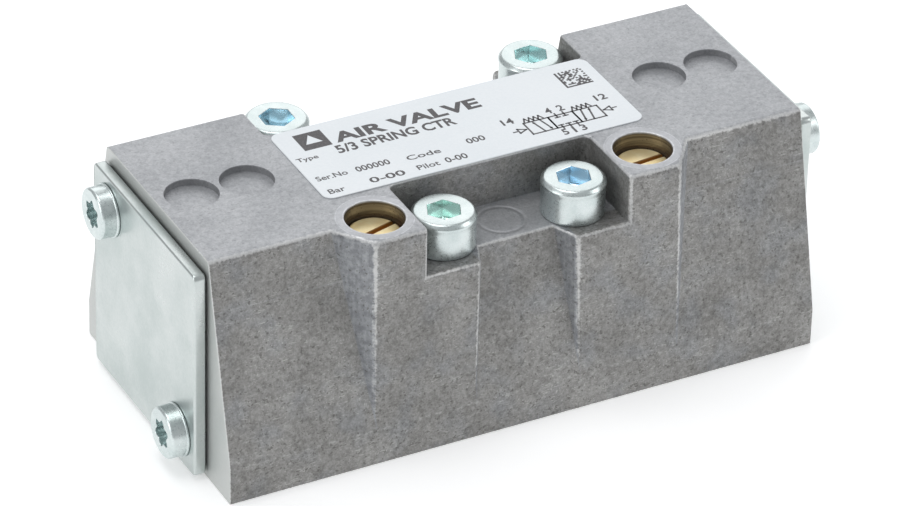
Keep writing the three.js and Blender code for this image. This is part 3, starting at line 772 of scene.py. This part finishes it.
def flow_regulator(end):
    node = f"flow_regulator_{end}"
    low, high = box_of(node)
    top = high.z
    profile = softened(
        [
            (0.4 * MM, low.z),
            (1.1 * MM, low.z),
            (2.2 * MM, low.z + 2.8 * MM),
            (2.2 * MM, top - 8.7 * MM),
            (REGULATOR_R, top - 8.4 * MM),
            (REGULATOR_R, top - 7.6 * MM),
            (2.5 * MM, top - 7.6 * MM),
            (2.5 * MM, top - 5.6 * MM),
            (REGULATOR_R, top - 5.6 * MM),
            (REGULATOR_R, top - 0.35 * MM),
            (REGULATOR_R - 0.35 * MM, top - 0.02 * MM),
            (0.5 * MM, top),
        ],
        0.12 * MM,
    )
    points = turned_points(profile[:, 0], profile[:, 1])
    points[:, :2] += np.array((REGULATOR[end].x, REGULATOR[end].y))
    piece = mesh_object(node + "_finished", points, grid_faces(len(profile), COLUMNS), BRASS)
    centre = (REGULATOR[end].x, REGULATOR[end].y, top)
    corners, faces = box_points(centre, (10 * MM, SLOT_WIDE, 2 * SLOT_DEEP), math.radians(SLOT_TURNS[end]))
    saw = mesh_object("saw", corners, faces, BRASS)
    cut = piece.modifiers.new("slot", "BOOLEAN")
    cut.operation, cut.solver, cut.object = "DIFFERENCE", "EXACT", saw
    applied(piece)
    bpy.data.objects.remove(saw)
    piece.data.set_sharp_from_angle(angle=SHARP_ANGLE)
    return piece


for end in ENDS:
    piece = flow_regulator(end)
    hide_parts(f"flow_regulator_{end}")
    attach(piece, f"regulator_{end}")
    print(piece.name, len(piece.data.polygons), "faces")

# %% [markdown]
# ## The casting
#
# The CAD block has the right shape but knife edges. Its copy is merged and its flat faces joined,
# and then a Bevel modifier rounds the outer edges that stick out and marks the new strips with a
# second material. The wear, partly a painted highlight along the edges, is worked out from those
# strips, and then the mark is taken off again.
# Edges inside the bores stay sharp, because a reamer leaves them so.

# %% Rounded copies
SPOOL_AXIS_Z = 15.2 * MM
SPOOL_OPENING_R = 11.3 * MM
RECESS = {"x": 38.5 * MM, "y": 19.4 * MM, "z": 1.4 * MM}
FOOT_EDGE_Y = 18.8 * MM
REGULATOR_CLEAR = 4.0 * MM
SCREW_CLEAR = 3.0 * MM
END_HOLES_X = 31 * MM
END_HOLE_CLEAR = 2.5 * MM
FRONT_RIM_Y = 10 * MM
TALL_EDGE = 3 * MM
MERGE_DISTANCE = 1e-6
EDGE = {
    "end face": 0.2 * MM,
    "foot": 0.15 * MM,
    "bore": 0.12 * MM,
    "deck front": 0.7 * MM,
    "deck side": 0.3 * MM,
    "upright": 0.7 * MM,
    "other": 0.45 * MM,
    "plate": 0.3 * MM,
}


def is_outer(point):
    """True on the outside of the block: not in a bore, a port, a screw hole or the gasket's recess."""
    x, y, z = point
    if abs(x) < END_X + 0.1 * MM and math.hypot(y, z - SPOOL_AXIS_Z) < SPOOL_OPENING_R:
        return False
    at_foot = z < 0.05 * MM and abs(y) > FOOT_EDGE_Y
    if z < RECESS["z"] and abs(x) < RECESS["x"] and abs(y) < RECESS["y"] and not at_foot:
        return False
    if z < DECK_Z - 0.05 * MM:
        for end in ENDS:
            if math.hypot(x - REGULATOR[end].x, y - REGULATOR[end].y) < REGULATOR_CLEAR:
                return False
    for node in SCREW_NODES:
        spot = middle(node)
        if math.hypot(x - spot.x, y - spot.y) < SCREW_CLEAR:
            return False
    if abs(x) > END_HOLES_X and z < DECK_Z - 0.5 * MM:
        for node in END_SCREW_NODES:
            spot = middle(node)
            if math.hypot(y - spot.y, z - spot.z) < END_HOLE_CLEAR and spot.x * x > 0:
                return False
    return True


def casting_edge(first, last):
    """How wide an edge of the casting is rounded, in metres."""
    low, high = min(first.z, last.z), max(first.z, last.z)
    at_end = min(abs(first.x), abs(last.x)) > END_X - 0.05 * MM
    if not is_outer((first + last) / 2):
        return 0
    for x in POCKETS_X:
        if math.hypot(abs(first.x) - x, first.y) < POCKET_R + 0.1 * MM:
            return 0
    if at_end:
        return EDGE["end face"]
    if high < 1.3 * MM:
        return EDGE["foot"]
    if low > DECK_Z - 0.05 * MM:
        near_bore = math.hypot(abs(first.x) - REGULATOR["right"].x, first.y - REGULATOR["right"].y)
        if near_bore < REGULATOR_CLEAR:
            return EDGE["bore"]
        return EDGE["deck front" if abs(first.y) > FRONT_RIM_Y else "deck side"]
    return EDGE["upright" if high - low > TALL_EDGE else "other"]


SIDE_ROW_ANGLE = math.radians(16)
SIDE_ROW_WEAR_AND_HIGHLIGHT = 0.45


def wear_and_edge_highlight_of(mesh):
    """
    One number for each corner of each face: 1 along the middle of the rounded strips (material 1),
    falling to 0 where a strip runs smoothly into the face beside it, and 0 on all other faces.
    """
    strip_normals = {}
    for polygon in mesh.polygons:
        if polygon.material_index == 1:
            for point in polygon.vertices:
                strip_normals.setdefault(point, []).append(polygon.normal.copy())
    wear_and_edge_highlight = np.zeros(len(mesh.vertices))
    wear_and_edge_highlight[list(strip_normals)] = 1
    for polygon in mesh.polygons:
        if polygon.material_index == 1:
            continue
        for point in polygon.vertices:
            beside = strip_normals.get(point, ())
            if any(polygon.normal.angle(normal, 0) < SIDE_ROW_ANGLE for normal in beside):
                wear_and_edge_highlight[point] = 0
    pairs = np.array([edge.vertices[:] for edge in mesh.edges])
    for first, last in (pairs.T, pairs.T[::-1]):
        wear_and_edge_highlight[last[(wear_and_edge_highlight[first] == 0) & (wear_and_edge_highlight[last] > 0.9)]] = SIDE_ROW_WEAR_AND_HIGHLIGHT
    corners = np.zeros(len(mesh.loops))
    for polygon in mesh.polygons:
        if polygon.material_index == 1:
            corners[list(polygon.loop_indices)] = wear_and_edge_highlight[list(polygon.vertices)]
    return corners


def merged(node):
    """A copy of a CAD node's mesh, and its editable form with the doubled points merged."""
    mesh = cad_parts[node].data.copy()
    work = bmesh.new()
    work.from_mesh(mesh)
    bmesh.ops.remove_doubles(work, verts=work.verts, dist=MERGE_DISTANCE)
    return mesh, work


def placed(name, mesh, work, finish):
    """Writes the edited form back to its mesh, and puts it into the scene with one finish."""
    work.to_mesh(mesh)
    work.free()
    mesh.materials.clear()
    mesh.materials.append(finish)
    made = bpy.data.objects.new(name, mesh)
    bpy.context.scene.collection.objects.link(made)
    return made


def rounded_copy(node, width_of, finish, least_angle=20):
    """
    A merged copy of a CAD node with its outstanding edges rounded by a Bevel modifier, whose width
    for each edge is width_of(its two ends), and with the wear and painted edge highlight of the
    rounded strips stored on it.
    """
    mesh, work = merged(node)
    bmesh.ops.dissolve_limit(work, angle_limit=math.radians(0.6), verts=work.verts, edges=work.edges)
    weight = work.edges.layers.float.new("bevel_weight_edge")
    chosen = {}
    for edge in work.edges:
        outstanding = len(edge.link_faces) == 2 and edge.is_convex
        if outstanding and edge.calc_face_angle(0) > math.radians(least_angle):
            chosen[edge] = width_of(edge.verts[0].co, edge.verts[1].co)
    widest = max(chosen.values())
    for edge, width in chosen.items():
        edge[weight] = width / widest
    name = f"{node}_finished"
    copy = placed(name, mesh, work, finish)
    mesh.materials.append(finish)
    for polygon in mesh.polygons:
        polygon.material_index = 0
    bevel = copy.modifiers.new("rounded edges", "BEVEL")
    bevel.limit_method = "WEIGHT"
    bevel.width = widest
    bevel.segments = 4
    bevel.use_clamp_overlap = False
    bevel.material = 1
    applied(copy)
    mesh = copy.data
    wear_and_edge_highlight = wear_and_edge_highlight_of(mesh)
    for polygon in mesh.polygons:
        polygon.material_index = 0
    mesh.materials.pop(index=1)
    layer = mesh.attributes.new("wear_and_edge_highlight", "FLOAT", "CORNER")
    layer.data.foreach_set("value", wear_and_edge_highlight.astype(np.float32))
    mesh.shade_smooth()
    mesh.set_sharp_from_angle(angle=math.radians(35))
    weighted = copy.modifiers.new("flat faces stay flat", "WEIGHTED_NORMAL")
    weighted.keep_sharp = True
    weighted.weight = 100
    print(name, "faces:", len(mesh.polygons), "corners along worn edges:", int((wear_and_edge_highlight > 0.9).sum()))
    return copy


casting = rounded_copy("valve_body", casting_edge, CAST)
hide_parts("valve_body")
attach(casting, "block")

# %% End plates
def plate_edge(first, last):
    """Rounds the plate's outline and leaves its screw holes sharp."""
    spot = (first + last) / 2
    for node in END_SCREW_NODES:
        screw = middle(node)
        if math.hypot(spot.y - screw.y, spot.z - screw.z) < SCREW_CLEAR and screw.x * spot.x > 0:
            return 0
    return EDGE["plate"]


for end in ENDS:
    plate = rounded_copy(f"end_plate_{end}", plate_edge, SHEET, 60)
    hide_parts(f"end_plate_{end}")
    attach(plate, "block")

# %% [markdown]
# ## The label and its print
#
# The label is a thin foil with round corners. Its print is real geometry, a hundredth of a
# millimetre proud: strokes, filled shapes, port numbers and a code pattern. The marks are generic:
# the standard symbol of a five-port, three-position valve, centred by springs and shifted by air.

# %% Label print helpers
LABEL_LOW, LABEL_HIGH = box_of("rating_label")
INK_Z = LABEL_HIGH.z
INK_THICK = 0.012 * MM
INK_SUNK = 0.004 * MM
STROKE = 0.24
FINE_STROKE = 0.22
ARROW_HEAD = 0.55
print_points, print_faces = [], []


def add_print(points, faces):
    start = sum(len(block) for block in print_points)
    print_points.append(np.asarray(points, float))
    print_faces.extend([[index + start for index in face] for face in faces])


def prism(outline):
    """A flat convex outline in millimetres, anticlockwise, raised by the ink's thickness."""
    outline = np.asarray(outline, float) * MM
    count = len(outline)
    low = np.column_stack([outline, np.full(count, INK_Z - INK_SUNK)])
    high = np.column_stack([outline, np.full(count, INK_Z + INK_THICK)])
    sides = [[i, (i + 1) % count, count + (i + 1) % count, count + i] for i in range(count)]
    bottom = list(range(count))[::-1]
    top = list(range(count, 2 * count))
    add_print(np.concatenate([low, high]), sides + [bottom, top])


def stroke(start, stop, width=STROKE):
    """A straight line of ink: a thin rectangle along it."""
    start, stop = np.array(start, float), np.array(stop, float)
    along = (stop - start) / np.hypot(*(stop - start)) * width / 2
    across = np.array((-along[1], along[0]))
    prism([start - along - across, stop + along - across, stop + along + across, start - along + across])


def path(points, width=STROKE):
    for start, stop in zip(points[:-1], points[1:]):
        stroke(start, stop, width)


def box_lines(low, high):
    path([low, (high[0], low[1]), high, (low[0], high[1]), low])


def arrow(start, stop):
    """A stroke with a filled triangle at its end."""
    start, stop = np.array(start, float), np.array(stop, float)
    along = (stop - start) / np.hypot(*(stop - start)) * ARROW_HEAD
    across = np.array((-along[1], along[0])) * 0.4
    stroke(start, stop - along * 0.8)
    prism([stop, stop - along + across, stop - along - across])


def lettering(words, corner, height, width, bold=0.02):
    """Words in the built-in face, scaled to a capital height and a width from their lower left corner."""
    curve = bpy.data.curves.new("words", "FONT")
    curve.body = words
    curve.extrude = 0.5
    curve.offset = bold
    curve.resolution_u = 3
    source = bpy.data.objects.new("words", curve)
    bpy.context.scene.collection.objects.link(source)
    graph = bpy.context.evaluated_depsgraph_get()
    mesh = bpy.data.meshes.new_from_object(source.evaluated_get(graph))
    points = np.empty(len(mesh.vertices) * 3)
    mesh.vertices.foreach_get("co", points)
    points = points.reshape(-1, 3)
    low, high = points.min(0), points.max(0)
    flat = (points[:, :2] - low[:2]) / (high - low)[:2] * np.array((width, height)) + np.array(corner)
    tall = np.where(points[:, 2] > 0, INK_Z + INK_THICK, INK_Z - INK_SUNK)
    add_print(np.column_stack([flat * MM, tall]), [list(face.vertices) for face in mesh.polygons])
    bpy.data.objects.remove(source)
    bpy.data.meshes.remove(mesh)


# %% The valve symbol
SYMBOL_LOW = np.array((7.75, -5.8))
SYMBOL_BOX = np.array((3.45, 2.75))
# places across the middle box, its top or foot, and the strokes into the box and out of it
PORTS = (((0.34, 0.66), 1, -0.5, 0.45), ((0.2, 0.5, 0.8), 0, 0.5, -0.35))
NUMBER_HEIGHT = 1.35
NUMBER_BOLD = 0.022


def valve_symbol():
    """Three boxes in a row: two crossed flows and a shut centre, with ports, springs and pilots."""
    wide, tall = SYMBOL_BOX
    left, foot = SYMBOL_LOW
    head = foot + tall
    for index in range(3):
        low = SYMBOL_LOW + np.array((index * wide, 0))
        box_lines(low, low + SYMBOL_BOX)
    centre = left + wide
    for shares, edge, inward, outward in PORTS:
        edge = foot + edge * tall
        for share in shares:
            x, bar = centre + share * wide, edge + inward
            stroke((x, edge), (x, bar))
            stroke((centre + (share - 0.09) * wide, bar), (centre + (share + 0.09) * wide, bar))
            stroke((x, edge), (x, edge + outward))
    arrow((left + 0.5 * wide, foot), (left + 0.34 * wide, head))
    arrow((left + 0.66 * wide, head), (left + 0.82 * wide, foot))
    arrow((left + 2.5 * wide, foot), (left + 2.66 * wide, head))
    arrow((left + 2.34 * wide, head), (left + 2.18 * wide, foot))
    for start in (left + 0.25, left + 2 * wide + 0.15):
        path([(start + 0.33 * k, head + 0.2 + 0.75 * (k % 2)) for k in range(9)], FINE_STROKE)
    level = foot + tall / 2
    for tip, way in ((left, -1), (left + 3 * wide, 1)):
        nose, back = tip + way * 0.3, tip + way * 1.35
        path([(nose, level), (back, level + 0.5), (back, level - 0.5), (nose, level)], FINE_STROKE)
        stroke((back + way * 0.25, level), (back + way * 0.7, level), FINE_STROKE)
    for words, corner, width in (
        ("14", (left - 2.4, head + 0.55), 1.6),
        ("12", (left + 3 * wide + 0.6, head + 0.85), 1.6),
        ("4", (centre + 0.1 * wide, head + 0.7), 0.85),
        ("2", (centre + 0.6 * wide, head + 0.7), 0.85),
        ("5", (centre + 0.0 * wide, foot - 1.85), 0.8),
        ("1", (centre + 0.44 * wide, foot - 1.85), 0.32),
        ("3", (centre + 0.74 * wide, foot - 1.85), 0.8),
    ):
        lettering(words, corner, NUMBER_HEIGHT, width, NUMBER_BOLD)


valve_symbol()
print("symbol:", len(print_faces), "faces")

# %% Code pattern, words and emblem
CODE_CELLS = 14
CODE_CELL = 0.27


def code_pattern(corner):
    """A square of cells filled by a seeded draw, with two solid sides and two dotted ones."""
    draw = np.random.default_rng(7).random((CODE_CELLS, CODE_CELLS)) < 0.5
    draw[:, 0] = True
    draw[0, :] = True
    draw[:, -1] = np.arange(CODE_CELLS) % 2 == 0
    draw[-1, :] = np.arange(CODE_CELLS) % 2 == 0
    for row, column in np.argwhere(draw):
        low = np.array(corner) + CODE_CELL * np.array((column, row))
        high = low + CODE_CELL * 1.02
        prism([low, (high[0], low[1]), high, (low[0], high[1])])


def emblem(centre, radius):
    """A solid square with a triangle left open in it, drawn as a ring between the two outlines."""
    turn = np.linspace(0, 2 * np.pi, 49)
    outer = 0.86 * radius / np.cos((turn + np.pi / 4) % (np.pi / 2) - np.pi / 4)
    within = (turn - np.pi / 2 + np.pi / 3) % (2 * np.pi / 3) - np.pi / 3
    inner = np.minimum(0.3 * radius / np.cos(np.abs(np.abs(within) - np.pi / 3)), 0.6 * radius)
    for start in range(48):
        ends = []
        for index, radii in ((start, inner), (start, outer), (start + 1, outer), (start + 1, inner)):
            x, y = radii[index] * math.cos(turn[index]), radii[index] * math.sin(turn[index])
            ends.append((centre[0] + x, centre[1] + y))
        prism(ends)


code_pattern((16.8, 2.1))
emblem((-17.7, 4.6), 2.2)
for words, corner, height, width, bold in (
    ("AIR VALVE", (-15.1, 2.75), 2.3, 20.2, 0.035),
    ("5/3 SPRING CTR", (-16.0, 0.4), 1.85, 16.4, 0.026),
    ("Type", (-21.6, 0.35), 1.1, 2.9, 0.012),
    ("Ser.No", (-21.3, -4.3), 1.05, 4.2, 0.012),
    ("000000", (-15.9, -4.4), 1.2, 4.6, 0.018),
    ("Code", (-9.1, -4.7), 1.05, 4.6, 0.012),
    ("000", (-0.6, -4.4), 1.2, 2.5, 0.018),
    ("Bar", (-21.2, -7.5), 1.05, 2.2, 0.012),
    ("0-00", (-15.5, -7.4), 1.2, 4.8, 0.018),
    ("Pilot", (-8.9, -7.2), 1.05, 3.0, 0.012),
    ("0-00", (-5.0, -7.2), 1.2, 3.0, 0.018),
):
    lettering(words, corner, height, width, bold)


def rating_label():
    """Foil: a rounded outline carried up a softened edge, and closed in the middle of each face."""
    half = (LABEL_HIGH - LABEL_LOW) / 2
    centre = (LABEL_HIGH + LABEL_LOW) / 2
    corner = 1.3 * MM
    steps = 10
    turn = np.concatenate([np.linspace(k, k + 1, steps) * np.pi / 2 for k in range(4)])
    signs = np.repeat(np.array([[1, 1], [-1, 1], [-1, -1], [1, -1]]), steps, 0)
    core = signs * (np.array((half.x, half.y)) - corner)
    rim = np.stack([np.cos(turn), np.sin(turn)], -1)
    soft = 0.03 * MM
    profile = [(6 * soft, LABEL_LOW.z), (0, LABEL_LOW.z), (0, LABEL_HIGH.z - soft)]
    profile += [(soft, LABEL_HIGH.z), (6 * soft, LABEL_HIGH.z)]
    rows = []
    for inset, height in profile:
        flat = core + rim * (corner - inset)
        rows.append(np.column_stack([flat, np.full(len(flat), height)]))
    points = np.concatenate(rows + [[[0, 0, LABEL_LOW.z]], [[0, 0, LABEL_HIGH.z]]])
    points[:, :2] += np.array((centre.x, centre.y))
    return mesh_object("rating_label_finished", points, grid_faces(len(rows), 4 * steps), FOIL)


label = rating_label()
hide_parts("rating_label")
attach(label, "block")
printing = mesh_object("label_print", np.concatenate(print_points), print_faces, INK)
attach(printing, "block")
print("print:", len(printing.data.polygons), "faces")

# %% [markdown]
# ## What keeps its CAD shape
#
# The parts inside the block and the gaskets have the right shape already, so they keep their CAD
# meshes and only get their finishes.

# %% Finishes for the other nodes
def dress(names, finish):
    for name in names:
        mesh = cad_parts[name].data
        mesh.materials.clear()
        mesh.materials.append(finish)


every = list(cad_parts)
dress([name for name in every if "gasket" in name or "oring" in name or "seal" in name], RUBBER)
dress(["spool_sleeve", "pilot_piston_left", "pilot_piston_right"], ANODISED)
dress(["spool"], LAPPED)
print("other nodes dressed")

# %% [markdown]
# ## Centring springs
#
# Each spring stands between its end plate and its piston. Its CAD coil is merged and shaded smooth,
# and it stays where the CAD model puts it.


def centring_spring(end):
    node = f"centring_spring_{end}"
    mesh, work = merged(node)
    piece = placed(f"{node}_finished", mesh, work, SPRING)
    mesh.shade_smooth()
    mesh.set_sharp_from_angle(angle=math.radians(50))
    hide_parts(node)
    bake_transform(piece)
    return piece


for end, side in (("left", -1), ("right", 1)):
    piece = centring_spring(end)
    print(piece.name, "points:", len(piece.data.vertices))

# %% [markdown]
# ## Bench and light
#
# A pale bench and large soft lamps, as for a catalogue. Metal shows its surroundings, so the
# lamps are placed for what mirrors them: a wide one behind for the deck, the screw tops and the
# label, one over the top, one at the left for the end plate and the screw barrels, and a weaker
# one at the right. The bench glows a little, so that it stays white and lights the walls.

# %% Bench and light
BENCH_GLOW = 0.34
BENCH_HALF = 0.9
ROOM_LIGHT = 0.5


def bench():
    corners = np.array([[-1, -1, 0], [1, -1, 0], [1, 1, 0], [-1, 1, 0]]) * BENCH_HALF
    corners[:, 2] = BLOCK_LOW.z - 0.02 * MM
    finish = Finish("bench", metallic=0.0, roughness=0.6)
    pale, paler = colour(0.86, 0.865, 0.87), colour(0.9, 0.9, 0.9)
    finish.wire("Base Color", finish.mix(finish.cloud(60.0, 3.0), pale, paler))
    finish.shader.inputs["Emission Color"].default_value = (1.0, 1.0, 1.0, 1.0)
    finish.shader.inputs["Emission Strength"].default_value = BENCH_GLOW
    floor = mesh_object("bench", corners, [[0, 1, 2, 3]], finish.material)


def soft_lamp(name, spot, wide, tall, power, aim=(0, 0, 0.01)):
    data = bpy.data.lights.new(name, "AREA")
    data.shape = "RECTANGLE"
    data.size, data.size_y = wide, tall
    data.energy = power
    lamp = bpy.data.objects.new(name, data)
    lamp.location = spot
    lamp.rotation_euler = (Vector(spot) - Vector(aim)).to_track_quat("Z", "Y").to_euler()
    bpy.context.scene.collection.objects.link(lamp)


bench()
soft_lamp("back", (0.45, 0.95, 0.62), 1.3, 0.75, 3.0)
soft_lamp("top", (-0.15, 0.1, 0.9), 0.5, 0.5, 2.2)
soft_lamp("left", (-0.8, -0.05, 0.35), 0.4, 0.6, 1.6)
soft_lamp("right", (0.7, -0.4, 0.45), 0.35, 0.5, 1.2)
world = bpy.data.worlds.new("room")
bpy.context.scene.world = world
world.use_nodes = True
world.node_tree.nodes["Background"].inputs[0].default_value = (0.96, 0.98, 1.0, 1.0)
world.node_tree.nodes["Background"].inputs[1].default_value = ROOM_LIGHT
bpy.context.scene.view_settings.view_transform = "Standard"
